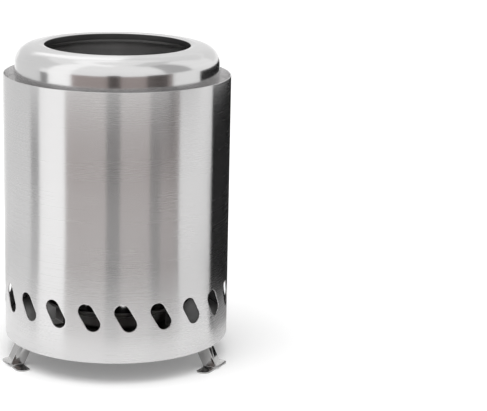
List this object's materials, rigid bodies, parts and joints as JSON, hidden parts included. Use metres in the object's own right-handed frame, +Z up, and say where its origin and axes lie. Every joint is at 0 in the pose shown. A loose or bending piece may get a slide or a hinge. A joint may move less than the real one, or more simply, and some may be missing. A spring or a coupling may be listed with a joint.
{
  "type": "smokeless fire pit",
  "caption": "Small round double-walled smokeless fire pit with slanted air inlets, a domed flame ring, a lift-out grate and ash pan, and folding legs.",
  "frame": {"origin": "on the pit's axis at the height of the table that its feet stand on", "axes": "+Z up along the pit's axis, -Y towards the front; the legs stand at the rear, the front left and the front right"},
  "size_m": [0.16, 0.1657, 0.2244],
  "materials": {
    "shell_steel": "fine brushing round the cylinder",
    "ring_steel": "spun and semi-polished",
    "chamber_steel": "brushed, satin",
    "inner_steel": "mill finish",
    "grate_steel": "mill finish",
    "leg_steel": "satin",
    "pin_steel": "plain"
  },
  "bodies": {
    "root": {"outer_shell": "shell_steel", "base_plate": "inner_steel", "burn_chamber": "chamber_steel", "chamber_spacers": "inner_steel", "leg_washers": "pin_steel", "bracket_rivets": "pin_steel", "leg_bracket_rear": "leg_steel", "leg_bracket_left": "leg_steel", "leg_bracket_right": "leg_steel", "leg_pin_rear": "pin_steel", "leg_pin_left": "pin_steel", "leg_pin_right": "pin_steel"},
    "ring": {"flame_ring": "ring_steel", "ring_tabs": "inner_steel"},
    "pan": {"ash_pan": "inner_steel"},
    "grate": {"fire_grate": "grate_steel"},
    "leg_rear": {"leg_rear": "leg_steel"},
    "leg_left": {"leg_left": "leg_steel"},
    "leg_right": {"leg_right": "leg_steel"}
  },
  "joints": [
    {"name": "flame_ring_lift", "type": "slide", "parent": "root", "child": "ring", "axis": [0, 0, 1], "range_m": [0, 0.06]},
    {"name": "ash_pan_lift", "type": "slide", "parent": "root", "child": "pan", "axis": [0, 0, 1], "range_m": [0, 0.21]},
    {"name": "grate_lift", "type": "slide", "parent": "pan", "child": "grate", "axis": [0, 0, 1], "range_m": [0, 0.19]},
    {"name": "leg_rear_fold", "type": "hinge", "parent": "root", "child": "leg_rear", "pos_m": [0, 0.0705, 0.0205], "axis": [-1, 0, 0], "range_deg": [0, 118]},
    {"name": "leg_left_fold", "type": "hinge", "parent": "root", "child": "leg_left", "pos_m": [-0.06105, -0.03525, 0.0205], "axis": [0.5, -0.866, 0], "range_deg": [0, 118]},
    {"name": "leg_right_fold", "type": "hinge", "parent": "root", "child": "leg_right", "pos_m": [0.06105, -0.03525, 0.0205], "axis": [0.5, 0.866, 0], "range_deg": [0, 118]}
  ]
}
